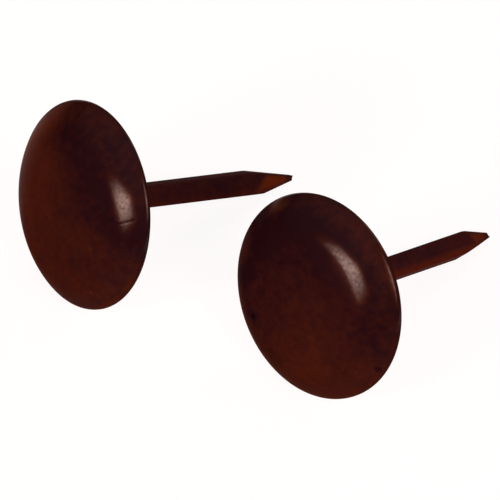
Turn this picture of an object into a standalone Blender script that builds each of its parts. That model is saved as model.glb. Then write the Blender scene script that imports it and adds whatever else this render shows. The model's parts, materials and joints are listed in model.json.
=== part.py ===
"""Two brown lacquered upholstery nails lying on a table.

Each nail is a stamped sheet-steel cap, a square wire shank and the weld that
joins them.  Lengths are in metres.  A nail is built along its own axis, with
the rim plane of the cap at axial 0, the tip of the shank on the positive side
and the crown of the dome on the negative side.  It is then laid on the table,
on its rim and its tip.
"""
import math

import bmesh
import bpy
from mathutils import Matrix, Vector

# Cap, stamped from sheet steel.  A flat crown runs into a rounder shoulder and
# the shoulder into the turned edge; the angles are the slopes at the two joins.
HEAD_DIAMETER = 0.0111
DOME_RISE = 0.00185
CROWN_ANGLE = math.radians(13.0)
SHOULDER_ANGLE = math.radians(48.3)
SHEET_THICKNESS = 0.00045
EDGE_RADIUS = 0.00036
EDGE_WALL = 0.00005

# Shank, cut from square wire and pinched to a point that sits off the axis,
# toward one corner of the wire.
SHANK_WIDTH = 0.00119
SHANK_CORNER = 0.00012
SHANK_LENGTH = 0.01362
POINT_LENGTH = 0.0037
POINT_SWELL = 1.75
TIP_WIDTH = 0.00032
TIP_OFFSET = 0.000116
TIP_CORNER = math.radians(-45.0)

# Weld between the end of the wire and the inside of the dome.
WELD_DIAMETER = 0.0030
WELD_HEIGHT = 0.00062
WELD_TOE = 0.00006
WELD_LINE = 0.00002

# Where each rim centre lies on the table, where the nail points, counted
# from +Y toward +X, and how the square wire is rolled about its own axis.
LEFT_RIM_X = -0.008553
LEFT_RIM_Y = -0.001739
LEFT_HEADING = math.radians(57.9)
LEFT_ROLL = math.radians(-33.4)
RIGHT_RIM_X = 0.003698
RIGHT_RIM_Y = -0.008367
RIGHT_HEADING = math.radians(44.0)
RIGHT_ROLL = math.radians(-59.0)

# Facet counts.
CAP_SEGMENTS = 72
CROWN_STEPS = 4
SHOULDER_STEPS = 8
EDGE_STEPS = 4
CORNER_STEPS = 3
FLAT_STEPS = 6
POINT_STEPS = 7
FILLET_STEPS = 6
WELD_TOP_STEPS = 3
SHARP_ANGLE = math.radians(30.0)
SAME_POINT = 1e-7

# Sizes that follow from the ones above.  The steps between the three radii of
# the dome solve two equations: reach out to the edge, and drop below the crown.
HEAD_RADIUS = HEAD_DIAMETER / 2
EDGE_CENTRE = HEAD_RADIUS - EDGE_RADIUS
EDGE_DROP = DOME_RISE - EDGE_WALL - EDGE_RADIUS
CROWN_SAG = 1 - math.cos(CROWN_ANGLE)
SHOULDER_SAG = 1 - math.cos(SHOULDER_ANGLE)
SPREAD = math.sin(CROWN_ANGLE) * SHOULDER_SAG - math.sin(SHOULDER_ANGLE) * CROWN_SAG
CROWN_STEP = (EDGE_CENTRE * SHOULDER_SAG - EDGE_DROP * math.sin(SHOULDER_ANGLE)) / SPREAD
SHOULDER_STEP = (EDGE_DROP * math.sin(CROWN_ANGLE) - EDGE_CENTRE * CROWN_SAG) / SPREAD
SHOULDER_RADIUS = EDGE_RADIUS + SHOULDER_STEP
CROWN_RADIUS = SHOULDER_RADIUS + CROWN_STEP
CROWN_CENTRE = CROWN_RADIUS - DOME_RISE
SHOULDER_OUT = CROWN_STEP * math.sin(CROWN_ANGLE)
SHOULDER_CENTRE = CROWN_CENTRE - CROWN_STEP * math.cos(CROWN_ANGLE)
INNER_CROWN = CROWN_RADIUS - SHEET_THICKNESS
INNER_SHOULDER = SHOULDER_RADIUS - SHEET_THICKNESS
TIP_SHARE = TIP_WIDTH / SHANK_WIDTH


def lacquer(name, color):
    """A glossy painted-metal material of the given linear colour."""
    material = bpy.data.materials.new(name)
    material.use_nodes = True
    shader = material.node_tree.nodes["Principled BSDF"]
    shader.inputs["Base Color"].default_value = (*color, 1.0)
    shader.inputs["Metallic"].default_value = 0.0
    shader.inputs["Roughness"].default_value = 0.25
    material.diffuse_color = (*color, 1.0)
    return material


def hollow_at(radius):
    """Axial position of the inside of the crown at a distance from the axis."""
    return CROWN_CENTRE - math.sqrt(INNER_CROWN ** 2 - radius ** 2)


def square_ring(width, corner):
    """Points of a square with rounded corners, counter-clockwise."""
    half = width / 2
    inner = half - corner
    points = []
    for quarter in range(4):
        turn = Matrix.Rotation(quarter * math.pi / 2, 2)
        for step in range(CORNER_STEPS + 1):
            angle = math.pi / 2 * step / CORNER_STEPS
            points.append(turn @ Vector((inner + corner * math.cos(angle), inner + corner * math.sin(angle))))
        for step in range(1, FLAT_STEPS):
            points.append(turn @ Vector((inner - 2 * inner * step / FLAT_STEPS, half)))
    return points


def at_level(points, axial):
    """The flat points of a ring moved to one axial position."""
    return [Vector((point.x, point.y, axial)) for point in points]


def under_dome(points):
    """The flat points of a ring laid a weld line below the inside of the dome."""
    return [Vector((point.x, point.y, hollow_at(point.length) + WELD_LINE)) for point in points]


def bridge(bm, rings, closed=False):
    """Join rings of equal point counts with faces, and give back their edge loops."""
    loops = []
    for ring in rings:
        corners = [bm.verts.new(point) for point in ring]
        loops.append([bm.edges.new((corners[index - 1], corners[index])) for index in range(len(corners))])
    for loop, following in zip(loops, loops[1:]):
        bmesh.ops.bridge_loops(bm, edges=loop + following)
    if closed:
        bmesh.ops.bridge_loops(bm, edges=loops[-1] + loops[0])
    return loops


def add_piece(bm, name, material, nail, roll=0.0):
    """Turn a closed skin into a named object of the given nail."""
    bmesh.ops.recalc_face_normals(bm, faces=bm.faces[:])
    mesh = bpy.data.meshes.new(name)
    bm.to_mesh(mesh)
    bm.free()
    mesh.shade_smooth()
    mesh.set_sharp_from_angle(angle=SHARP_ANGLE)
    mesh.materials.append(material)
    piece = bpy.data.objects.new(name, mesh)
    piece.parent = nail
    piece.rotation_euler.z = roll
    bpy.context.collection.objects.link(piece)


def arc(radius, out, axial, first, last, steps):
    """Points of an arc round (out, axial), from the first angle up to just before the last."""
    angles = [first + (last - first) * step / steps for step in range(steps)]
    return [(out + radius * math.sin(angle), axial - radius * math.cos(angle)) for angle in angles]


def cap_profile():
    """Half section of the cap, from the crown over the rim to the inside of the crown."""
    seat_angle = math.acos(SHOULDER_CENTRE / INNER_SHOULDER)
    points = arc(CROWN_RADIUS, 0.0, CROWN_CENTRE, 0.0, CROWN_ANGLE, CROWN_STEPS)
    points += arc(SHOULDER_RADIUS, SHOULDER_OUT, SHOULDER_CENTRE, CROWN_ANGLE, SHOULDER_ANGLE, SHOULDER_STEPS)
    points += arc(EDGE_RADIUS, EDGE_CENTRE, -EDGE_WALL, SHOULDER_ANGLE, math.pi / 2, EDGE_STEPS)
    points += [(HEAD_RADIUS, -EDGE_WALL), (HEAD_RADIUS, 0.0)]
    points += arc(INNER_SHOULDER, SHOULDER_OUT, SHOULDER_CENTRE, seat_angle, CROWN_ANGLE, SHOULDER_STEPS)
    points += arc(INNER_CROWN, 0.0, CROWN_CENTRE, CROWN_ANGLE, 0.0, CROWN_STEPS)
    points.append((0.0, hollow_at(0.0)))
    return points


def build_cap(name, material, nail):
    """Spin the half section; an edge of the faceted rim, not a corner, faces the table."""
    bm = bmesh.new()
    start = math.pi / CAP_SEGMENTS
    corners = []
    for radius, axial in cap_profile():
        corners.append(bm.verts.new((radius * math.cos(start), radius * math.sin(start), axial)))
    edges = [bm.edges.new(pair) for pair in zip(corners, corners[1:])]
    bmesh.ops.spin(bm, geom=corners + edges, cent=(0, 0, 0), axis=(0, 0, 1), dvec=(0, 0, 0),
                   angle=2 * math.pi, steps=CAP_SEGMENTS, use_merge=True)
    bmesh.ops.remove_doubles(bm, verts=bm.verts[:], dist=SAME_POINT)
    add_piece(bm, name, material, nail)


def build_shank(name, material, nail, roll):
    """Square wire from the inside of the crown to the pinched tip, whose sides swell out."""
    bm = bmesh.new()
    section = square_ring(SHANK_WIDTH, SHANK_CORNER)
    rings = [under_dome(section)]
    tip = TIP_OFFSET * Vector((math.cos(TIP_CORNER), math.sin(TIP_CORNER)))
    for step in range(POINT_STEPS + 1):
        share = step / POINT_STEPS
        pinch = share ** POINT_SWELL
        size = 1 - (1 - TIP_SHARE) * pinch
        axial = SHANK_LENGTH - POINT_LENGTH * (1 - share)
        rings.append(at_level([point * size + tip * pinch for point in section], axial))
    loops = bridge(bm, rings)
    bmesh.ops.edgeloop_fill(bm, edges=loops[-1])
    end = bmesh.ops.edgeloop_fill(bm, edges=loops[0])["faces"]
    middle = bmesh.ops.poke(bm, faces=end)["verts"][0]
    middle.co.z = hollow_at(0.0) + WELD_LINE
    add_piece(bm, name, material, nail, roll)


def build_weld(name, material, nail, roll):
    """Collar of weld metal: a square bore round the wire and a fillet out to the dome."""
    bm = bmesh.new()
    bore = square_ring(SHANK_WIDTH + 2 * WELD_LINE, SHANK_CORNER + WELD_LINE)
    rim = [point.normalized() * WELD_DIAMETER / 2 for point in bore]
    toe = hollow_at(WELD_DIAMETER / 2) + WELD_LINE + WELD_TOE
    low = hollow_at(0.0) + WELD_HEIGHT
    rings = []
    for step in range(FILLET_STEPS + 1):
        angle = math.pi / 2 * step / FILLET_STEPS
        reach = 1 - math.cos(angle)
        axial = low + (toe - low) * math.sin(angle)
        rings.append(at_level([near.lerp(far, reach) for near, far in zip(bore, rim)], axial))
    for step in range(WELD_TOP_STEPS + 1):
        reach = 1 - step / WELD_TOP_STEPS
        rings.append(under_dome([near.lerp(far, reach) for near, far in zip(bore, rim)]))
    bridge(bm, rings, closed=True)
    add_piece(bm, name, material, nail, roll)


def lay_nail(name, rim_x, rim_y, heading, roll):
    """An empty at the rim centre of a nail that lies on an edge of its rim and on its tip."""
    rim_reach = HEAD_RADIUS * math.cos(math.pi / CAP_SEGMENTS)
    tip_corner = SHANK_CORNER * TIP_SHARE
    tip_reach = tip_corner + (TIP_WIDTH / 2 - tip_corner) * (abs(math.cos(roll)) + abs(math.sin(roll)))
    tip_reach -= TIP_OFFSET * math.sin(TIP_CORNER + roll)
    tilt = math.atan2(rim_reach - tip_reach, SHANK_LENGTH)
    axis = Vector((math.cos(tilt) * math.sin(heading), math.cos(tilt) * math.cos(heading), -math.sin(tilt)))
    side = Vector((0, 0, 1)).cross(axis).normalized()
    nail = bpy.data.objects.new(name, None)
    nail.matrix_world = Matrix((side, axis.cross(side), axis)).transposed().to_4x4()
    nail.location = (rim_x, rim_y, rim_reach * math.cos(tilt))
    bpy.context.collection.objects.link(nail)
    return nail


def centre_on_table(nails):
    """Move the nails so that the box round them is centred on the origin and stands on it."""
    bpy.context.view_layer.update()
    pieces = [piece for nail in nails for piece in nail.children]
    corners = [piece.matrix_world @ vertex.co for piece in pieces for vertex in piece.data.vertices]
    low = Vector([min(corner[axis] for corner in corners) for axis in range(3)])
    high = Vector([max(corner[axis] for corner in corners) for axis in range(3)])
    for nail in nails:
        nail.location -= Vector(((low.x + high.x) / 2, (low.y + high.y) / 2, low.z))
    bpy.context.view_layer.update()


def main():
    for item in list(bpy.data.objects):
        bpy.data.objects.remove(item, do_unlink=True)
    cap_lacquer = lacquer("cap_lacquer", (0.032, 0.0075, 0.0055))
    shank_lacquer = lacquer("shank_lacquer", (0.030, 0.0070, 0.0055))
    weld_lacquer = lacquer("weld_lacquer", (0.026, 0.0065, 0.0055))
    lies = {
        "left": (LEFT_RIM_X, LEFT_RIM_Y, LEFT_HEADING, LEFT_ROLL),
        "right": (RIGHT_RIM_X, RIGHT_RIM_Y, RIGHT_HEADING, RIGHT_ROLL),
    }
    nails = []
    for side, (rim_x, rim_y, heading, roll) in lies.items():
        nail = lay_nail(side + "_nail", rim_x, rim_y, heading, roll)
        build_cap(side + "_cap", cap_lacquer, nail)
        build_shank(side + "_shank", shank_lacquer, nail, roll)
        build_weld(side + "_weld", weld_lacquer, nail, roll)
        nails.append(nail)
    centre_on_table(nails)


main()
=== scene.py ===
"""Two lacquered upholstery nails that lie loose on a pale table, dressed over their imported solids."""

import json
import math

import bpy
import numpy as np
from bpy.props import FloatProperty, FloatVectorProperty, PointerProperty
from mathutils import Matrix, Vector


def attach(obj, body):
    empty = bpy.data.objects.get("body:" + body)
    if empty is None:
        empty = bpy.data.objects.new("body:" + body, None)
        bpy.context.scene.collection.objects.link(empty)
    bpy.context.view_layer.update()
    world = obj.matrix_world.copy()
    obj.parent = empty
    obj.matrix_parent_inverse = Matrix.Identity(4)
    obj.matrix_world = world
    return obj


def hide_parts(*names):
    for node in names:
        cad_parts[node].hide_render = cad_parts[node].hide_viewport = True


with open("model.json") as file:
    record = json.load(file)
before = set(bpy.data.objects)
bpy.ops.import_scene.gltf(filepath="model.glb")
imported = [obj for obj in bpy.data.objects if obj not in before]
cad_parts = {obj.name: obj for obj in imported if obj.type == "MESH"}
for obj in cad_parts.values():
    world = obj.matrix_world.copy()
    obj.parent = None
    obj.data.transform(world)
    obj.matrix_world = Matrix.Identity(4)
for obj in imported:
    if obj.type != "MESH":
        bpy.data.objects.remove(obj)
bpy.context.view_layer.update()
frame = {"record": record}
SEATS = {mount["name"]: mount for mount in frame["record"]["mounts"]}

bl_info = {
    "name": "Lacquered upholstery nails",
    "version": (1, 0, 0),
    "blender": (4, 5, 0),
    "location": "3D View > Sidebar > Nails",
    "description": "Builds a pair of domed nails from their sizes, with their lacquer and a studio",
    "category": "Add Mesh",
}

NAILS = ("left", "right")
MILLIMETRE = 0.001

# Lacquer: unit of place on a cap, film where no run shows, width and depth of a scratch.
FILM_UNIT = 0.005
HOLLOW_FILM = 0.8
TIP_FILM = 0.8
WELD_FILM = 0.85
SCRATCH_WIDTH = 0.05 * MILLIMETRE
SCRATCH_DEPTH = 0.008 * MILLIMETRE

# Points round a cap, length of the wire's end that gets close rows, length of its rounded tip.
CAP_AROUND = 520
POINT_REACH = 0.0036
TIP_ROUNDING = 0.00018

# Film on the point: depth of cut over which it thins, and distances to the tip where it thickens again.
CUT_BLEND = 0.00009
TIP_POOL = (0.0008, 0.0003)

# Panels of cloth: distance, rows of points, and how far the border reaches past the middle.
PANEL_DISTANCE = 0.3
PANEL_ROWS = 25
PANEL_BORDER = 1.5

# Each panel's first and last direction (azimuth and elevation in degrees), width in metres, and lean.
PANELS = {
    "window": ((-114.5, 34.2), (-144.5, 16.0), 0.125, 0.7),
    "right_panel": ((153, 65), (145, 19), 0.14, 0.0),
    "far_panel": ((66, 56), (42, 14), 0.25, 0.0),
    "low_panel": ((-70, 3), (-36, 9), 0.08, 0.0),
}

# Camera: point it looks at, elevation in degrees, distance, then lens and sensor in millimetres.
VIEW_MIDDLE = (-0.0002360, 0.0036643, 0.0)
VIEW_ELEVATION = 45.93
VIEW_DISTANCE = 0.8845
LENS = 1207.0
SENSOR = 36.0

# Table: half its width, drop below the nails, its own white as seen, the lit share seen on top of
# that, and the grey from which it throws light back.
TABLE_HALF = 4.0
TABLE_DROP = 0.00002
TABLE_GLOW = 0.9
TABLE_LIT = 0.17
TABLE_GREY = 0.75


def linear(code):
    """Linear colour of an sRGB hex value: v / 12.92 near black, ((v + 0.055) / 1.055) ^ 2.4 above."""
    levels = [int(code[start:start + 2], 16) / 255 for start in (0, 2, 4)]
    return [v / 12.92 if v <= 0.04045 else ((v + 0.055) / 1.055) ** 2.4 for v in levels]


def length(name, description, default):
    """A property that holds a length in metres."""
    return FloatProperty(name=name, description=description, default=default, min=0.0, precision=6,
                         unit="LENGTH")


def angle(name, description, degrees):
    """A property that holds an angle, given in degrees."""
    return FloatProperty(name=name, description=description, default=math.radians(degrees),
                         subtype="ANGLE")


def amount(name, description, default):
    """A property that holds a plain number."""
    return FloatProperty(name=name, description=description, default=default)


def seat_axis(name, description, seat):
    """A property that holds a direction, at first the axis of a mount."""
    return FloatVectorProperty(name=name, description=description, default=SEATS[seat]["axis"],
                               subtype="DIRECTION", precision=6)


def place(name, description, default):
    """A property that holds a point in the frame of the solids, in metres."""
    return FloatVectorProperty(name=name, description=description, default=default, precision=6,
                               subtype="TRANSLATION", unit="LENGTH")


def cuts(name, default):
    """A property that holds how far from the tip the four cuts of a point begin, in metres."""
    return FloatVectorProperty(name=name, description="Where the four cuts of the point begin",
                               default=default, size=4, precision=6, unit="LENGTH")


def askew(name, description, default):
    """A property that holds how far a wire sits off its axis at the cap and at the tip, in metres."""
    return FloatVectorProperty(name=name, description=description, default=default, size=4, precision=6,
                               unit="LENGTH")


def colour(name, description, code):
    """A property that holds a colour, given as sRGB hex and kept linear."""
    return FloatVectorProperty(name=name, description=description, default=linear(code), min=0.0, max=1.0,
                               subtype="COLOR")


def shares(name, description, default):
    """A property that holds a short row of plain numbers."""
    return FloatVectorProperty(name=name, description=description, default=default,
                               size=len(default), precision=3)


class NailSizes(bpy.types.PropertyGroup):
    """Sizes of one nail. Both nails are alike."""

    head_diameter: length("Head diameter", "Across the rim, inside the facets of the solid", 0.0110860)
    dome_rise: length("Dome rise", "From the rim plane to the crown", 0.00185)
    crown_angle: angle("Crown angle", "Slope where the flat crown meets the shoulder", 13.0)
    shoulder_angle: angle("Shoulder angle", "Slope where the shoulder meets the edge", 48.3)
    sheet_thickness: length("Sheet thickness", "Wall of the stamped cap", 0.00045)
    edge_radius: length("Edge radius", "Rounding where the dome turns down to the rim", 0.00036)
    edge_wall: length("Edge wall", "Upright strip below the rounding", 0.00005)
    wire_width: length("Wire width", "Across the flats of the square wire", 0.00119)
    wire_corner: length("Wire corner", "Rounding of the corners of the wire", 0.00012)
    shank_length: length("Shank length", "From the rim plane to the tip", 0.01362)
    tip_width: length("Tip width", "Across the blunt end of the point", 0.00025)
    weld_diameter: length("Weld diameter", "Collar of weld metal on the inside of the dome", 0.0030)
    weld_height: length("Weld height", "How far the collar climbs the wire", 0.00062)
    weld_toe: length("Weld toe", "Thickness of the outer edge of the collar", 0.00006)
    weld_line: length("Weld line", "Gap kept between weld, wire and cap", 0.00002)


class NailLies(bpy.types.PropertyGroup):
    """How the nails lie on the table: each on an edge of its rim and on its tip."""

    left_rim: place("Left rim", "Centre of the left rim plane", (-0.0088046, 0.0019619, 0.0051773))
    left_axis: seat_axis("Left axis", "From the left crown to its tip", "left_seat")
    left_roll: angle("Left roll", "Turn of the left wire about its axis", -31.0)
    right_rim: place("Right rim", "Centre of the right rim plane", (0.0034464, -0.0046661, 0.0051769))
    right_axis: seat_axis("Right axis", "From the right crown to its tip", "right_seat")
    right_roll: angle("Right roll", "Turn of the right wire about its axis", -53.5)
    left_cuts: cuts("Left cuts", (0.0027, 0.0029, 0.00265, 0.00217))
    right_cuts: cuts("Right cuts", (0.0027, 0.0023, 0.0019, 0.0025))
    left_lean: amount("Left lean", "Slant of the shown cut of the left point", -0.85)
    right_lean: amount("Right lean", "Slant of the shown cut of the right point", 0.5)
    left_set: askew("Left set", "How far the left wire sits off the axis: at the cap, at the tip",
                    (0.0, 0.00012, 0.0, 0.0))
    right_set: askew("Right set", "How far the right wire sits off the axis: at the cap, at the tip",
                     (0.0, 0.00013, 0.0, -0.00004))


class LacquerLook(bpy.types.PropertyGroup):
    """Colours of the lacquer over the steel, how it ran while the nails dried, and shade and reflection
    painted into it.
    """

    # The film layer blends thin into thick. It also carries painted shade and reflection, so thick stands
    # partly for painted shade and thin partly for a painted reflection of the table, on caps and wires.
    thin: colour("Thin lacquer", "Orange-brown where the film has drawn off edges and facets", "612E08")
    thick: colour("Thick lacquer", "Darker, colder brown where the film has pooled", "1F0D13")
    wire_thin: colour("Thin on wire", "Redder where the film is thin on the wire", "632A08")
    wire_thick: colour("Thick on wire", "Colder where the film is thick on the wire", "23141D")
    pit: colour("Pit", "Specks and pin holes in the film", "0E0504")
    # Painted shade and reflection: each run darkens the upper side and the sag band, and lightens the
    # lower side.
    left_run: shares("Left run", "Film on the left cap: crown, sideways, upwards, bow, sag, "
                     "and three for the edge",
                     (0.826, -0.095, 0.063, -0.025, 0.14, -0.018, -0.015, -0.01))
    right_run: shares("Right run", "Film on the right cap: crown, sideways, upwards, bow, sag, "
                      "and three for the edge",
                      (0.891, 0.08, 0.152, 0.115, 0.046, -0.097, -0.038, -0.074))
    left_shine: shares("Left shine", "Line above which the left cap is bright: height, slope",
                       (0.62, 0.36))
    right_shine: shares("Right shine", "Line above which the right cap is bright: height, slope",
                        (0.47, 0.22))
    # Painted shade: the upper flat of each wire is darker, and the lower flat, facing the table, lighter.
    left_wire: shares("Left wire film", "Film on the upper flat, the lower flat and the facet",
                      (0.88, 0.73, 0.28))
    right_wire: shares("Right wire film", "Film on the upper flat, the lower flat and the facet",
                       (0.86, 0.49, 0.40))
    # The first two marks on each cap are specks in the film; the others lie near the edge and paint a warm
    # sheen.
    left_marks: shares("Left marks", "Spots on the left cap: place and radius in millimetres, "
                       "change of film",
                       (-3.60, -2.92, 0.09, -0.4, -2.94, -0.44, 0.09, -0.3,
                        3.9, 3.5, 0.9, -0.22, 4.7, 2.0, 1.0, -0.28, 5.1, 0.3, 1.2, -0.28))
    right_marks: shares("Right marks", "Spots on the right cap: place and radius in millimetres, "
                        "change of film",
                        (2.75, -2.57, 0.17, 1.2, -5.07, -1.41, 0.12, 0.5,
                         4.0, 3.5, 0.6, -0.25, 5.0, 0.2, 0.8, -0.14, 4.4, -2.4, 0.9, -0.1))
    left_scratch: shares("Left scratch", "Ends of a scratch in millimetres, and its strength",
                         (-3.75, 1.71, -4.40, 2.44, 0.9))
    right_scratch: shares("Right scratch", "Ends of a scratch in millimetres, and its strength",
                          (-2.65, 2.90, -2.97, 2.84, 0.4))
    left_edge: shares("Left edge", "Gloss on the edge of the left cap: all round, on the outer side",
                      (0.02, 0.08))
    right_edge: shares("Right edge", "Gloss on the edge of the right cap: all round, on the outer side",
                       (0.015, 0.0))
    dull: amount("Dull side", "Share of gloss on the lower side", 0.004)
    bright: amount("Bright side", "Share of gloss on the upper side", 0.29)
    wire_gloss: amount("Wire gloss", "Share of gloss on wires and welds", 0.012)


class StudioLook(bpy.types.PropertyGroup):
    """Floor, lights and surroundings."""

    floor: colour("Floor", "Plain white table", "FFFFFF")
    horizon: colour("Horizon", "Surroundings at the height of the table", "282A2E")
    zenith: colour("Zenith", "Surroundings overhead", "948890")
    key_colour: colour("Key colour", "Window at the viewer's left", "FFE9DC")
    curtain_colour: colour("Curtain colour", "Warm border of the window", "FF8040")
    side_colour: colour("Side colour", "Panel on the right", "FFDCCB")
    back_colour: colour("Back colour", "Low warm panel at the back", "FFB060")
    key_light: amount("Key light", "Brightness of the window", 18.0)
    curtain_light: amount("Curtain light", "Brightness of the border", 5.5)
    side_light: amount("Side light", "Brightness of the right panel", 9.0)
    far_light: amount("Far light", "Brightness of the far panel", 4.0)
    back_light: amount("Back light", "Brightness of the low panel", 0.5)


def dome_arcs(sizes):
    """Radius and centre (radial, axial) of the crown arc and of the shoulder arc.

    Crown, shoulder and edge rounding are three arcs that run into each other at the two angles. With
    a = crown radius - shoulder radius and b = shoulder radius - edge radius, a sin + b sin reaches the
    centre of the edge rounding, and a (1 - cos) + b (1 - cos) gives its drop below the crown: two
    equations for a and b.
    """
    angles = np.array((sizes.crown_angle, sizes.shoulder_angle))
    reach = sizes.head_diameter / 2 - sizes.edge_radius
    drop = sizes.dome_rise - sizes.edge_wall - sizes.edge_radius
    a, b = np.linalg.solve((np.sin(angles), 1 - np.cos(angles)), (reach, drop))
    shoulder = b + sizes.edge_radius
    crown = a + shoulder
    centre = crown - sizes.dome_rise
    aside = a * math.sin(sizes.crown_angle)
    below = a * math.cos(sizes.crown_angle)
    return (crown, 0.0, centre), (shoulder, aside, centre - below)


def hollow_at(sizes, radial):
    """Axial position of the inside of the crown: its centre minus the height of the inner sphere."""
    radius, _, centre = dome_arcs(sizes)[0]
    return centre - np.sqrt((radius - sizes.sheet_thickness) ** 2 - radial ** 2)


def nail_frame(lies, side, roll=0.0):
    """Rim centre and a matrix of rows: level direction, upward direction, axis, the first two rolled."""
    axis = np.array(getattr(lies, side + "_axis"), float)
    axis /= np.linalg.norm(axis)
    level = np.cross((0.0, 0.0, 1.0), axis)
    level /= np.linalg.norm(level)
    up = np.cross(axis, level)
    turned = math.cos(roll) * level + math.sin(roll) * up
    return np.array(getattr(lies, side + "_rim")), np.array((turned, np.cross(axis, turned), axis))


def skin(rows, around, ends, ring):
    """Index faces of a grid whose columns close round.

    Quads join each row to the next. With ends, a fan joins the first row to a pole and another the last
    row, and the two poles follow the grid. With ring, the last row joins the first instead.
    """
    row, column = np.meshgrid(np.arange(rows if ring else rows - 1), np.arange(around), indexing="ij")
    following = (column + 1) % around
    below = (row + 1) % rows
    quads = np.stack((row * around + column, row * around + following,
                      below * around + following, below * around + column), axis=-1).reshape(-1, 4)
    if not ends:
        return quads, np.empty((0, 3), int)
    turn = np.arange(around)
    after = (turn + 1) % around
    last = (rows - 1) * around
    first_fan = np.stack((np.full(around, rows * around), after, turn), axis=-1)
    last_fan = np.stack((np.full(around, rows * around + 1), last + turn, last + after), axis=-1)
    return quads, np.concatenate((first_fan, last_fan))


def add_piece(name, grid, poles, layers, material, spot):
    """Put a closed grid into a mesh with its lacquer layers, and let it stand for a solid of its nail.

    The faces are turned outwards by the sign of the volume: the sum of a . (b x c) over the triangles.
    """
    rim, turn = spot["frame"]
    rows, around = grid.shape[:2]
    points = np.concatenate((grid.reshape(-1, 3), np.reshape(poles, (-1, 3)))) @ turn + rim
    quads, fans = skin(rows, around, len(poles) > 0, len(poles) == 0)
    triangles = np.concatenate((quads[:, :3], quads[:, [0, 2, 3]], fans))
    a, b, c = (points[triangles[:, corner]] - rim for corner in range(3))
    if np.einsum("ij,ij->", a, np.cross(b, c)) < 0:
        quads, fans = quads[:, ::-1], fans[:, ::-1]
    mesh = bpy.data.meshes.new(name)
    mesh.from_pydata(points.tolist(), [], quads.tolist() + fans.tolist())
    if mesh.validate():
        raise RuntimeError(name + " has faces that don't close")
    mesh.shade_smooth()
    for title, values in layers.items():
        layer = mesh.attributes.new(title, "FLOAT", "POINT")
        layer.data.foreach_set("value", values.astype(np.float32))
    mesh.materials.append(material)
    piece = bpy.data.objects.new(name, mesh)
    bpy.context.scene.collection.objects.link(piece)
    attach(piece, spot["body"])
    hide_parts(spot["node"])


def node(tree, kind, inputs, **settings):
    """Add one node: settings are its own fields, inputs are values or the outputs that feed them."""
    made = tree.nodes.new(kind)
    for field, value in settings.items():
        setattr(made, field, value)
    for socket, value in inputs.items():
        if isinstance(value, bpy.types.NodeSocket):
            tree.links.new(value, made.inputs[socket])
        else:
            made.inputs[socket].default_value = value
    return made


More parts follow.
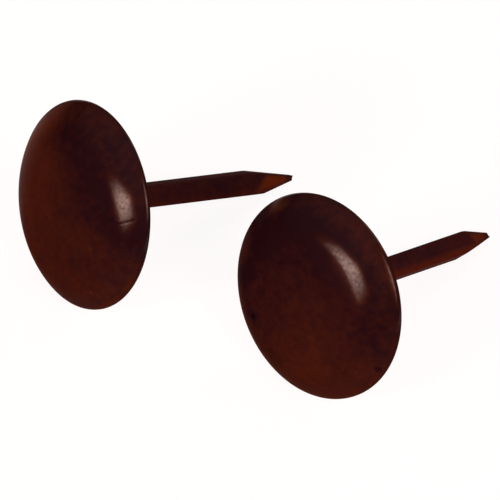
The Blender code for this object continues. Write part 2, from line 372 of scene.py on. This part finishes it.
def lacquered_steel(name, thin, thick, pit, peel):
    """Translucent red-brown lacquer over steel, dipped and left to dry.

    The layer film says how thick the lacquer lies at a point, and on caps and wires it also carries
    painted shade and painted reflection. The layer gloss says how much of its clear surface shows. peel
    is the size of its ripples in millimetres.
    """
    # To the eye: near black and cold where the lacquer has pooled and where shade is painted,
    # orange-brown where it has drawn off thin and where a reflection of the table is painted. The film is
    # cloudy over 2.2 mm and grainy over 0.4 mm. A share of the steel glints through it.
    material = bpy.data.materials.new(name)
    material.use_nodes = True
    tree = material.node_tree
    tree.nodes.clear()
    spot = node(tree, "ShaderNodeTexCoord", {}).outputs["Object"]
    film = node(tree, "ShaderNodeAttribute", {}, attribute_name="film").outputs["Fac"]
    gloss = node(tree, "ShaderNodeAttribute", {}, attribute_name="gloss").outputs["Fac"]
    cloud = node(tree, "ShaderNodeTexNoise", {"Vector": spot, "Scale": 1 / (2.2 * MILLIMETRE),
                                              "Detail": 3.0, "Roughness": 0.6,
                                              "Distortion": 0.6}).outputs["Fac"]
    grain = node(tree, "ShaderNodeTexNoise", {"Vector": spot, "Scale": 1 / (0.4 * MILLIMETRE),
                                              "Detail": 2.0}).outputs["Fac"]
    # The film layer carries painted shade and painted reflection as well as lacquer depth; the blend below
    # paints them into the colour.
    pooled_and_shaded = node(tree, "ShaderNodeMath", {0: cloud, 1: 0.32, 2: film},
                  operation="MULTIPLY_ADD").outputs[0]
    uneven = node(tree, "ShaderNodeMath", {0: grain, 1: 0.26, 2: pooled_and_shaded},
                  operation="MULTIPLY_ADD").outputs[0]
    depth = node(tree, "ShaderNodeMath", {0: uneven, 1: 0.29}, operation="SUBTRACT",
                 use_clamp=True).outputs[0]
    body = node(tree, "ShaderNodeMix", {"Factor": depth, "A": (*thin, 1), "B": (*thick, 1)},
                data_type="RGBA").outputs["Result"]
    # Fine grit in the gloss breaks up its highlights. Real grit is about 0.05 mm, drawn coarser to show.
    grit = node(tree, "ShaderNodeTexNoise", {"Vector": spot, "Scale": 1 / (0.17 * MILLIMETRE),
                                             "Detail": 2.0}).outputs["Fac"]
    sheen = node(tree, "ShaderNodeMath", {0: grit, 1: 2.0}, operation="MULTIPLY").outputs[0]
    shine = node(tree, "ShaderNodeMath", {0: gloss, 1: sheen}, operation="MULTIPLY").outputs[0]
    # Dust specks lie about 1.6 mm apart and are 0.1 mm wide. A film value above 1.2 marks a pin hole.
    cells = node(tree, "ShaderNodeTexVoronoi", {"Vector": spot, "Scale": 1 / (1.6 * MILLIMETRE)}).outputs
    dot = node(tree, "ShaderNodeMapRange", {"Value": cells["Distance"], "From Min": 0.07,
                                            "From Max": 0.03, "To Max": 0.5}).outputs["Result"]
    hole = node(tree, "ShaderNodeMapRange", {"Value": film, "From Min": 1.2,
                                             "From Max": 1.6}).outputs["Result"]
    speck = node(tree, "ShaderNodeMath", {0: dot, 1: hole}, operation="MAXIMUM").outputs[0]
    skinned = node(tree, "ShaderNodeMix", {"Factor": speck, "A": body, "B": (*pit, 1)},
                   data_type="RGBA").outputs["Result"]
    # Orange peel: ripples 0.002 mm high, drawn coarser than the real 0.2 mm to show in the highlights.
    ripple = node(tree, "ShaderNodeTexNoise", {"Vector": spot, "Scale": 1 / (peel * MILLIMETRE),
                                               "Detail": 1.0})
    bump = node(tree, "ShaderNodeBump", {"Height": ripple.outputs["Fac"], "Distance": 0.002 * MILLIMETRE,
                                         "Strength": 1.0})
    shader = node(tree, "ShaderNodeBsdfPrincipled", {
        "Base Color": skinned, "Metallic": 0.1, "Roughness": 0.3, "Specular IOR Level": 0.0,
        "Specular Tint": (0.5, 0.2, 0.1, 1.0), "Normal": bump.outputs["Normal"],
        "Coat Weight": shine, "Coat Roughness": 0.12, "Coat IOR": 1.5,
        "Coat Normal": bump.outputs["Normal"]})
    node(tree, "ShaderNodeOutputMaterial", {"Surface": shader.outputs["BSDF"]})
    return material


def soft_step(low, high, value):
    """0 at low and before it, 1 at high and past it, and 3 t ^ 2 - 2 t ^ 3 between them."""
    share = np.clip((value - low) / (high - low), 0.0, 1.0)
    return share * share * (3 - 2 * share)


def scratch_at(points, ends):
    """How deep a scratch is at each point: exp(-(d / width) ^ 2), d being the distance to its line."""
    start = np.array(ends[:2]) * MILLIMETRE
    run = np.array(ends[2:4]) * MILLIMETRE - start
    away = points[..., :2] - start
    share = np.clip(away @ run / (run @ run), 0.0, 1.0)
    distance = np.linalg.norm(away - share[..., None] * run, axis=-1)
    return ends[4] * np.exp(-(distance / SCRATCH_WIDTH) ** 2)


def cap_layers(points, shown, scratch, look, side):
    """Film thickness and gloss of a cap, point by point.

    With u and v the place sideways and upwards in units of 5 mm: a + b u + c v + d u ^ 2, a sag
    e exp(-((v - 0.3 u - 0.65) / 0.3) ^ 2) across the upper side, f + g u + h v towards the edge, and
    less on the lower part of its rounding. This pattern is painted shade and painted reflection: darker
    on the upper side and again in the sag band, where the dark room would be reflected, and lighter and
    warmer on the lower side and its rounding, where the white table would be reflected. Each mark adds a
    spot exp(-(d / radius) ^ 2): the first two on each cap are specks in the film, and the others lie near
    the edge and paint a warm sheen. The gloss rises from dull to bright over 1 mm, across a slanted line.
    The edge has a little more all round, and more again on the outer side, where u - 0.2 v is large. A
    scratch takes it away. Inside the hollow film and gloss are even.
    """
    u, v = points[:, 0] / FILM_UNIT, points[:, 1] / FILM_UNIT
    reach = np.hypot(u, v)
    edge = soft_step(0.8, 1.05, reach)
    # Painted shade and reflection: the run darkens the upper side and the sag band, and lightens the lower
    # side and its rounding.
    run = getattr(look, side + "_run")
    film = run[0] + run[1] * u + run[2] * v + run[3] * u * u
    film += run[4] * np.exp(-((v - 0.3 * u - 0.65) / 0.3) ** 2)
    film += (run[5] + run[6] * u + run[7] * v) * edge
    film -= 0.12 * soft_step(1.05, 1.1, reach) * np.clip(0.5 - 0.6 * v, 0.0, 1.0)
    # Specks in the film, and near the edge a painted warm sheen.
    specks_and_sheen = np.reshape(getattr(look, side + "_marks"), (-1, 4))
    away = np.linalg.norm(points[:, None, :2] - specks_and_sheen[:, :2] * MILLIMETRE, axis=-1)
    film += np.exp(-(away / (specks_and_sheen[:, 2] * MILLIMETRE)) ** 2) @ specks_and_sheen[:, 3]
    height, slope = getattr(look, side + "_shine")
    gloss = look.dull + (look.bright - look.dull) * soft_step(-0.07, 0.13, v - height - slope * u)
    around, outer = getattr(look, side + "_edge")
    gloss += around * edge + outer * soft_step(0.5, 0.95, u - 0.2 * v)
    gloss *= 1 - scratch
    hidden = 1 - shown
    return {"film": shown * film + hidden * HOLLOW_FILM, "gloss": shown * gloss + hidden * look.wire_gloss}


def cap_surface(sizes):
    """Grid of the cap, its poles, and which rows lie outside.

    Half section, turned about the axis: crown and shoulder arcs (c + r sin, d - r cos), the edge
    rounding to the upright wall, a small arc onto the flat seat, and the same arcs less the sheet
    thickness back to the axis. An arc that shows has more rows.
    """
    (crown, _, middle), (shoulder, out, level) = dome_arcs(sizes)
    head = sizes.head_diameter / 2
    sheet = sizes.sheet_thickness
    burr = 0.8 * sizes.edge_wall
    top = np.linspace(0.0, sizes.crown_angle, 51)[1:]
    turn_down = np.linspace(sizes.crown_angle, sizes.shoulder_angle, 71)[1:]
    bend = np.linspace(sizes.shoulder_angle, math.pi / 2, 17)[1:]
    fall = np.linspace(0.0, math.pi / 2, 5)
    inner_end = math.acos(level / (shoulder - sheet))
    lip = out + (shoulder - sheet) * math.sin(inner_end)
    seat = np.linspace(head - burr, lip, 5)[1:-1]
    under = np.linspace(inner_end, sizes.crown_angle, 17)
    back = np.linspace(sizes.crown_angle, 0.0, 9)[1:-1]
    radial = np.concatenate((crown * np.sin(top), out + shoulder * np.sin(turn_down),
                             head - sizes.edge_radius + sizes.edge_radius * np.sin(bend),
                             head - burr + burr * np.cos(fall), seat,
                             out + (shoulder - sheet) * np.sin(under), (crown - sheet) * np.sin(back)))
    axial = np.concatenate((middle - crown * np.cos(top), level - shoulder * np.cos(turn_down),
                            -sizes.edge_wall - sizes.edge_radius * np.cos(bend),
                            -burr + burr * np.sin(fall), np.zeros_like(seat),
                            level - (shoulder - sheet) * np.cos(under),
                            middle - (crown - sheet) * np.cos(back)))
    outside = (np.arange(len(radial)) < len(top) + len(turn_down) + len(bend)).astype(float)
    turn = np.linspace(0.0, 2 * math.pi, CAP_AROUND, endpoint=False)
    grid = np.stack((radial[:, None] * np.cos(turn), radial[:, None] * np.sin(turn),
                     np.repeat(axial[:, None], len(turn), axis=1)), axis=-1)
    return grid, ((0.0, 0.0, -sizes.dome_rise), (0.0, 0.0, middle - crown + sheet)), outside


def wire_section(width, corner):
    """Square with rounded corners, as one side turned four times: an arc, then points along the flat."""
    half = width / 2
    inner = half - corner
    arc = np.linspace(0.0, math.pi / 2, 8)
    flat = inner * np.linspace(1.0, -1.0, 18)[1:-1]
    side = np.concatenate((np.stack((inner + corner * np.cos(arc), inner + corner * np.sin(arc)), axis=-1),
                           np.stack((flat, np.full_like(flat, half)), axis=-1)))
    quarter = np.arange(4) * math.pi / 2
    turn = np.stack((np.cos(quarter), -np.sin(quarter), np.sin(quarter), np.cos(quarter)), axis=-1)
    return np.einsum("qij,sj->qsi", turn.reshape(4, 2, 2), side).reshape(-1, 2)


def shank_surface(sizes, lies, look, side):
    """Grid of the wire and its film thickness.

    The section is carried along the axis, and four flat cuts make the point. With q the distance to the
    tip, each cut keeps what lies within tip + (half - tip) q / start of its side, and the cut on the
    shown flat leans across its width. The end closes over a quarter ellipse. The wire is set a little
    askew: its middle runs straight from one offset at the cap to another at the tip. The film changes
    from the upper flat to the lower one over 0.4 mm, which paints shade: the upper flat darker, the lower
    one lighter. It is thin in the middle of the shown cut, and thicker on its borders and towards the tip.
    """
    section = wire_section(sizes.wire_width, sizes.wire_corner)
    half = sizes.wire_width / 2
    tip = sizes.tip_width / 2
    start_of_point = sizes.shank_length - POINT_REACH
    end_of_point = sizes.shank_length - TIP_ROUNDING
    top = hollow_at(sizes, 0.0) + sizes.weld_height
    straight = np.linspace(top, start_of_point, 12)[:-1]
    point = np.linspace(start_of_point, end_of_point, 90)
    axial = np.concatenate((straight, point))
    flat = np.repeat(section[None], len(axial), axis=0)
    left = (sizes.shank_length - axial)[:, None]
    facet = np.zeros(flat.shape[:2])
    sides = np.array(((1.0, 0.0), (0.0, 1.0), (-1.0, 0.0), (0.0, -1.0)))
    for start, normal in zip(getattr(lies, side + "_cuts"), sides):
        shown = normal[0] < 0
        slant = getattr(lies, side + "_lean") * section[:, 1] * shown
        limit = tip + (half - tip) * (left - slant) / start
        over = np.maximum(flat @ normal - np.maximum(limit, tip), 0.0)
        flat -= over[..., None] * normal
        facet = np.maximum(facet, soft_step(0.0, CUT_BLEND, over) * shown)
    across = abs(flat[..., 1])
    facet *= soft_step(1.0, 0.3, across / across.max(axis=1, keepdims=True))
    close = np.linspace(0.0, math.pi / 2, 10)[1:-1]
    levels = np.concatenate((axial, end_of_point + TIP_ROUNDING * np.sin(close)))
    depth = np.concatenate(((hollow_at(sizes, np.linalg.norm(section, axis=1)) + sizes.weld_line)[None],
                            np.repeat(levels[:, None], len(section), axis=1)))
    ends = np.reshape(getattr(lies, side + "_set"), (2, 2))
    along = np.clip(depth / sizes.shank_length, 0.0, 1.0)[..., None]
    wire = np.concatenate((section[None], flat, np.cos(close)[:, None, None] * flat[-1]))
    grid = np.concatenate((wire + ends[0] + along * (ends[1] - ends[0]), depth[..., None]), axis=-1)
    poles = ((*ends[0], hollow_at(sizes, 0.0) + sizes.weld_line), (*ends[1], sizes.shank_length))
    upper, lower, thin = getattr(look, side + "_wire")
    # Painted shade: the upper flat darker, and the lower flat, facing the table, lighter.
    body = upper + (lower - upper) * soft_step(0.1, 0.5, -section[:, 1] / MILLIMETRE)
    worn = thin + (TIP_FILM - thin) * soft_step(*TIP_POOL, left)
    film = np.concatenate((body[None], body + facet * (worn - body),
                           np.full((len(close), len(section)), TIP_FILM)))
    return grid, poles, np.append(film, (upper, TIP_FILM))


def weld_surface(sizes, offset):
    """Grid of the weld collar and its film thickness.

    A fillet goes from the wire out to an uneven circle: reach 1 - cos, height sin. Then the skin returns
    under the dome to the square bore, and the last row joins the first. The bore follows the wire, which
    sits a little off the axis.
    """
    bore = wire_section(sizes.wire_width + 2 * sizes.weld_line, sizes.wire_corner + sizes.weld_line)
    heading = np.arctan2(bore[:, 1], bore[:, 0])
    lump = 1 + 0.02 * np.cos(3 * heading + 0.7) + 0.02 * np.cos(5 * heading + 2.0) - 0.04
    rim = np.stack((np.cos(heading), np.sin(heading)), axis=-1) * (lump * sizes.weld_diameter / 2)[:, None]
    bore = bore + offset
    swing = np.linspace(0.0, math.pi / 2, 13)
    reach = np.concatenate((1 - np.cos(swing), np.linspace(1.0, 0.0, 5)))
    flat = bore + reach[:, None, None] * (rim - bore)
    roof = hollow_at(sizes, np.linalg.norm(flat, axis=-1)) + sizes.weld_line
    low = hollow_at(sizes, 0.0) + sizes.weld_height
    toe = hollow_at(sizes, sizes.weld_diameter / 2) + sizes.weld_line + sizes.weld_toe
    fillet = np.repeat((low + (toe - low) * np.sin(swing))[:, None], len(bore), axis=1)
    least = roof[:len(swing)] + 0.5 * sizes.weld_toe
    level = np.concatenate((np.maximum(fillet, least), roof[len(swing):]))
    grid = np.concatenate((flat, level[..., None]), axis=-1)
    return grid, (), np.full(level.size, WELD_FILM)


def spots(context, part, rolled):
    """Where each nail's piece of one kind goes: its frame, body, solid and finish."""
    lies = context.scene.nail_lies
    for side in NAILS:
        roll = getattr(lies, side + "_roll") if rolled else 0.0
        yield side, {"frame": nail_frame(lies, side, roll), "body": side + "_nail",
                     "node": side + "_" + part, "slot": part + "_lacquer"}


class NAIL_OT_caps(bpy.types.Operator):
    """Domed caps of both nails"""

    bl_idname = "nail.caps"
    bl_label = "Caps"

    def execute(self, context):
        look = context.scene.nail_lacquer
        material = lacquered_steel("dipped_lacquer_on_stamped_steel", look.thin, look.thick, look.pit,
                                   peel=0.4)
        plain, poles, outside = cap_surface(context.scene.nail_sizes)
        shown = np.append(np.repeat(outside, plain.shape[1]), (1.0, 0.0))
        for side, spot in spots(context, "cap", False):
            groove = scratch_at(plain, getattr(look, side + "_scratch")) * outside[:, None]
            grid = plain + groove[..., None] * np.array((0.0, 0.0, SCRATCH_DEPTH))
            points = np.concatenate((plain.reshape(-1, 3), np.reshape(poles, (-1, 3))))
            layers = cap_layers(points, shown, np.append(groove, (0.0, 0.0)), look, side)
            add_piece(side + "_domed_cap", grid, poles, layers, material, spot)
        return {"FINISHED"}


class NAIL_OT_shanks(bpy.types.Operator):
    """Square wire shanks of both nails"""

    bl_idname = "nail.shanks"
    bl_label = "Shanks"

    def execute(self, context):
        scene = context.scene
        look = scene.nail_lacquer
        material = lacquered_steel("dipped_lacquer_on_drawn_wire", look.wire_thin, look.wire_thick,
                                   look.pit, peel=0.4)
        for side, spot in spots(context, "shank", True):
            grid, poles, film = shank_surface(scene.nail_sizes, scene.nail_lies, look, side)
            layers = {"film": film, "gloss": np.full_like(film, look.wire_gloss)}
            add_piece(side + "_square_wire", grid, poles, layers, material, spot)
        return {"FINISHED"}


class NAIL_OT_welds(bpy.types.Operator):
    """Weld collars of both nails"""

    bl_idname = "nail.welds"
    bl_label = "Welds"

    def execute(self, context):
        scene = context.scene
        look = scene.nail_lacquer
        material = lacquered_steel("dipped_lacquer_on_weld_metal", look.wire_thin, look.wire_thick,
                                   look.pit, peel=0.3)
        for side, spot in spots(context, "weld", True):
            offset = np.array(getattr(scene.nail_lies, side + "_set")[:2])
            grid, poles, film = weld_surface(scene.nail_sizes, offset)
            layers = {"film": film, "gloss": np.full_like(film, look.wire_gloss)}
            add_piece(side + "_weld_collar", grid, poles, layers, material, spot)
        return {"FINISHED"}


def towards(azimuth, elevation):
    """Unit vector to a direction: azimuth from +Y towards +X, elevation above the table, in degrees."""
    a, e = math.radians(azimuth), math.radians(elevation)
    return Vector((math.sin(a) * math.cos(e), math.cos(a) * math.cos(e), math.sin(e)))


def add_panel(name, light, border, middle):
    """Glowing panel of cloth round the nails, from one direction to the other.

    Its light falls from the middle as (1 - |along|) (1 - |across| ^ 3). The light of its border reaches
    1.5 times as far, so that it shows round the edges. The first half narrows by a third, and lean pulls
    it to one side.
    """
    first, last, width, lean = PANELS[name]
    ends = [towards(*first) * PANEL_DISTANCE, towards(*last) * PANEL_DISTANCE]
    aside = ends[0].cross(ends[1]).normalized()
    spread = np.linspace(-PANEL_BORDER, PANEL_BORDER, PANEL_ROWS)
    along, across = np.meshgrid(spread, spread, indexing="ij")
    early = np.minimum(along, 0.0)
    slide = (across * (1 + early / 3) + lean * early) * width / 2
    centre = np.array(middle + (ends[0] + ends[1]) / 2)
    half = np.array((ends[1] - ends[0]) / 2)
    points = centre + along[..., None] * half + slide[..., None] * np.array(aside)
    core = np.maximum(1 - abs(along), 0.0) * np.maximum(1 - abs(across) ** 3, 0.0)
    edge = (1 - abs(along / PANEL_BORDER)) * (1 - abs(across / PANEL_BORDER) ** 3)
    cells = np.arange(PANEL_ROWS - 1)
    corner = (cells[:, None] * PANEL_ROWS + cells).ravel()
    below = corner + PANEL_ROWS
    mesh = bpy.data.meshes.new(name)
    mesh.from_pydata(points.reshape(-1, 3).tolist(), [],
                     np.stack((corner, below, below + 1, corner + 1), axis=-1).tolist())
    glow = np.ones((*along.shape, 4), np.float32)
    glow[..., :3] = core[..., None] * light + edge[..., None] * border
    layer = mesh.attributes.new("glow", "FLOAT_COLOR", "POINT")
    layer.data.foreach_set("color", glow.ravel())
    material = bpy.data.materials.new(name)
    material.use_nodes = True
    tree = material.node_tree
    tree.nodes.clear()
    shade = node(tree, "ShaderNodeAttribute", {}, attribute_name="glow").outputs["Color"]
    lamp = node(tree, "ShaderNodeEmission", {"Color": shade, "Strength": 1.0})
    node(tree, "ShaderNodeOutputMaterial", {"Surface": lamp.outputs["Emission"]})
    mesh.materials.append(material)
    panel = bpy.data.objects.new(name, mesh)
    panel.visible_camera = False
    bpy.context.scene.collection.objects.link(panel)


class NAIL_OT_stage(bpy.types.Operator):
    """Floor, surroundings, lights and camera"""

    bl_idname = "nail.stage"
    bl_label = "Studio"

    def execute(self, context):
        scene = context.scene
        look = scene.nail_studio
        middle = Vector(VIEW_MIDDLE)
        self.add_floor(scene, look)
        self.add_surroundings(scene, look)
        curtain = np.array(look.curtain_colour) * look.curtain_light
        glows = {
            "window": (np.array(look.key_colour) * look.key_light, curtain),
            "right_panel": (np.array(look.side_colour) * look.side_light, curtain / 3),
            "far_panel": (np.array(look.side_colour) * look.far_light, 0.0),
            "low_panel": (np.array(look.back_colour) * look.back_light, 0.0),
        }
        for name, (light, border) in glows.items():
            add_panel(name, light, border, middle)
        self.add_camera(scene, middle)
        scene.view_settings.view_transform = "Standard"
        return {"FINISHED"}

    def add_camera(self, scene, middle):
        """Long lens at the height of the photograph's viewer."""
        lens = bpy.data.cameras.new("long_lens")
        lens.sensor_width = SENSOR
        lens.lens = LENS
        lens.clip_start = 0.05
        lens.clip_end = 5.0
        camera = bpy.data.objects.new("long_lens", lens)
        view = towards(180, VIEW_ELEVATION)
        camera.location = middle + view * VIEW_DISTANCE
        camera.rotation_euler = (-view).to_track_quat("-Z", "Y").to_euler()
        scene.collection.objects.link(camera)
        scene.camera = camera

    def add_floor(self, scene, look):
        """White table: mostly its own white, and partly lit, so that the nails keep a soft shadow."""
        material = bpy.data.materials.new("white_table")
        material.use_nodes = True
        material.cycles.emission_sampling = "NONE"
        tree = material.node_tree
        tree.nodes.clear()
        path = node(tree, "ShaderNodeLightPath", {}).outputs
        seen = node(tree, "ShaderNodeMath", {0: path["Is Camera Ray"], 1: path["Is Glossy Ray"]},
                    operation="ADD")
        shown = node(tree, "ShaderNodeMath", {0: seen.outputs[0], 1: path["Is Transmission Ray"]},
                     operation="ADD", use_clamp=True)
        glow = node(tree, "ShaderNodeMath", {0: shown.outputs[0], 1: TABLE_GLOW}, operation="MULTIPLY")
        paint = node(tree, "ShaderNodeMix", {"Factor": shown.outputs[0], "A": (*[TABLE_GREY] * 3, 1),
                                             "B": (*[TABLE_LIT] * 3, 1)}, data_type="RGBA")
        shader = node(tree, "ShaderNodeBsdfPrincipled", {
            "Base Color": paint.outputs["Result"], "Roughness": 1.0, "Specular IOR Level": 0.0,
            "Emission Color": (*look.floor, 1), "Emission Strength": glow.outputs[0]})
        node(tree, "ShaderNodeOutputMaterial", {"Surface": shader.outputs["BSDF"]})
        mesh = bpy.data.meshes.new("table")
        corners = ((-1, -1), (1, -1), (1, 1), (-1, 1))
        mesh.from_pydata([(TABLE_HALF * x, TABLE_HALF * y, -TABLE_DROP) for x, y in corners], [],
                         [(0, 1, 2, 3)])
        mesh.materials.append(material)
        table = bpy.data.objects.new("table", mesh)
        scene.collection.objects.link(table)

    def add_surroundings(self, scene, look):
        """Dim room: dark at the height of the table, paler and colder overhead."""
        world = bpy.data.worlds.new("dim_room")
        scene.world = world
        world.use_nodes = True
        tree = world.node_tree
        tree.nodes.clear()
        direction = node(tree, "ShaderNodeTexCoord", {}).outputs["Generated"]
        height = node(tree, "ShaderNodeSeparateXYZ", {"Vector": direction}).outputs["Z"]
        rise = node(tree, "ShaderNodeMapRange", {"Value": height, "From Min": 0.1, "From Max": 0.9})
        sky = node(tree, "ShaderNodeMix", {"Factor": rise.outputs["Result"], "A": (*look.horizon, 1),
                                           "B": (*look.zenith, 1)}, data_type="RGBA")
        light = node(tree, "ShaderNodeBackground", {"Color": sky.outputs["Result"], "Strength": 1.0})
        node(tree, "ShaderNodeOutputWorld", {"Surface": light.outputs["Background"]})


class NAIL_PT_sidebar(bpy.types.Panel):
    """Sizes, colours and buttons of the nails"""

    bl_idname = "NAIL_PT_sidebar"
    bl_label = "Upholstery nails"
    bl_space_type = "VIEW_3D"
    bl_region_type = "UI"
    bl_category = "Nails"

    def draw(self, context):
        column = self.layout.column()
        for name in SETTINGS:
            group = getattr(context.scene, name)
            for field in group.bl_rna.properties.keys()[2:]:
                column.prop(group, field)
        for operator in OPERATORS:
            column.operator(operator.bl_idname)


SETTINGS = {"nail_sizes": NailSizes, "nail_lies": NailLies, "nail_lacquer": LacquerLook,
            "nail_studio": StudioLook}
OPERATORS = (NAIL_OT_stage, NAIL_OT_caps, NAIL_OT_shanks, NAIL_OT_welds)


def register():
    for group in SETTINGS.values():
        bpy.utils.register_class(group)
    for name, group in SETTINGS.items():
        setattr(bpy.types.Scene, name, PointerProperty(type=group))
    for operator in OPERATORS:
        bpy.utils.register_class(operator)
    bpy.utils.register_class(NAIL_PT_sidebar)


def unregister():
    bpy.utils.unregister_class(NAIL_PT_sidebar)
    for operator in reversed(OPERATORS):
        bpy.utils.unregister_class(operator)
    for name in SETTINGS:
        delattr(bpy.types.Scene, name)
    for group in reversed(SETTINGS.values()):
        bpy.utils.unregister_class(group)


def main():
    register()
    bpy.ops.nail.stage()
    bpy.ops.nail.caps()
    bpy.ops.nail.shanks()
    bpy.ops.nail.welds()


if __name__ == "__main__":
    main()
